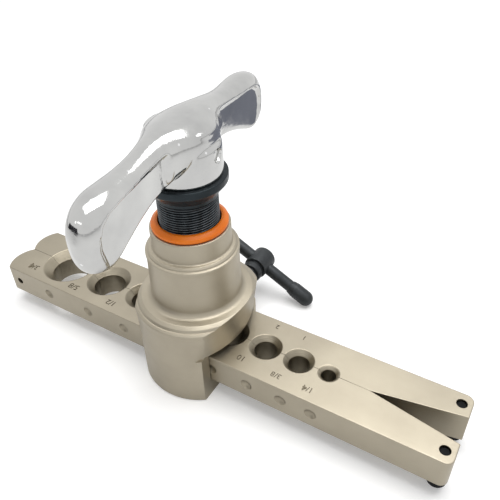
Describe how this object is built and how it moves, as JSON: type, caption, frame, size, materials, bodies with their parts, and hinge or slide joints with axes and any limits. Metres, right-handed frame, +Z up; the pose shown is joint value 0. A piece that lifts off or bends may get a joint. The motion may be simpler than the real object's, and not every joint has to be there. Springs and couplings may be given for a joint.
{
  "type": "pipe flaring tool",
  "caption": "Eccentric-cone pipe flaring tool: a split flaring bar with tube holes slides through a yoke that carries a T-handled feed screw and a side clamp screw.",
  "frame": {"origin": "on the floor under the middle of the tool's length and width; the yoke's feet stand on the floor", "axes": "+X along the flaring bar towards the pivot notch, +Y towards the clamp screw, +Z up along the feed screw"},
  "size_m": [0.237, 0.1276, 0.127],
  "materials": {
    "bar_nickel": "satin champagne nickel plate on steel, fine-ground faces",
    "yoke_nickel": "satin champagne nickel plate on turned steel",
    "bright_steel": "polished hardened steel",
    "black_oxide": "black oxide on steel, slightly oiled",
    "black_knob": "black oxide, satin",
    "orange_ring": "moulded orange polyurethane",
    "handle_chrome": "bright chrome plate on a casting"
  },
  "bodies": {
    "yoke": {"yoke_body": "yoke_nickel", "detent_spring": "bright_steel"},
    "bar_front": {"front_bar_half": "bar_nickel", "end_guide_pin": "bright_steel", "mid_guide_pin": "bright_steel", "front_stop_stud": "black_oxide"},
    "bar_rear": {"rear_bar_half": "bar_nickel", "rear_stop_stud": "black_oxide"},
    "detent": {"detent_ball": "bright_steel"},
    "pad": {"clamp_pad": "black_oxide"},
    "clamp": {"clamp_screw": "black_oxide"},
    "tommy": {"tommy_bar": "black_oxide", "lower_tommy_knob": "black_knob", "upper_tommy_knob": "black_knob"},
    "ring": {"wiper_ring": "orange_ring"},
    "feed": {"feed_screw": "black_oxide", "stop_collar": "black_oxide", "handle": "handle_chrome", "handle_pin": "bright_steel", "needle_sleeve": "bright_steel", "cone_snap_ring": "bright_steel", "thrust_ball": "bright_steel"},
    "cone": {"flare_cone": "bright_steel"}
  },
  "joints": [
    {"name": "bar_slide", "type": "slide", "parent": "yoke", "child": "bar_front", "axis": [1, 0, 0], "range_m": [-0.0975, 0.0838]},
    {"name": "bar_open", "type": "hinge", "parent": "bar_front", "child": "bar_rear", "pos_m": [0.0807, 0, 0.0165], "axis": [0, 0, -1], "range_deg": [0, 0.8]},
    {"name": "pad_travel", "type": "slide", "parent": "yoke", "child": "pad", "axis": [0, 1, 0], "range_m": [0, 0.003]},
    {"name": "clamp_turn", "type": "hinge", "parent": "pad", "child": "clamp", "pos_m": [-0.0039, 0.04, 0.0185], "axis": [0, 1, 0], "range_deg": [0, 720]},
    {"name": "tommy_slide", "type": "slide", "parent": "clamp", "child": "tommy", "axis": [0.891, 0, -0.454], "range_m": [-0.0145, 0.0145]},
    {"name": "feed_turn", "type": "hinge", "parent": "yoke", "child": "ring", "pos_m": [-0.0039, 0, 0.0789], "axis": [0, 0, -1], "range_deg": [-720, 1800]},
    {"name": "feed_travel", "type": "slide", "parent": "ring", "child": "feed", "axis": [0, 0, -1], "range_m": [-0.0045, 0.01125]},
    {"name": "cone_spin", "type": "hinge", "parent": "feed", "child": "cone", "pos_m": [-0.00498, -0.00053, 0.0422], "axis": [0, 0, 1], "continuous": true},
    {"name": "detent_travel", "type": "slide", "parent": "yoke", "child": "detent", "axis": [0, -1, 0], "range_m": [0, 0.0005], "stiffness_N_per_m": 400, "springref_m": -0.002}
  ],
  "couplings": [
    {"joint": "bar_open", "follows": "clamp_turn", "ratio": 0.0011111},
    {"joint": "pad_travel", "follows": "clamp_turn", "m_per_rad": 0.00023873},
    {"joint": "feed_travel", "follows": "feed_turn", "m_per_rad": 0.0003581}
  ]
}
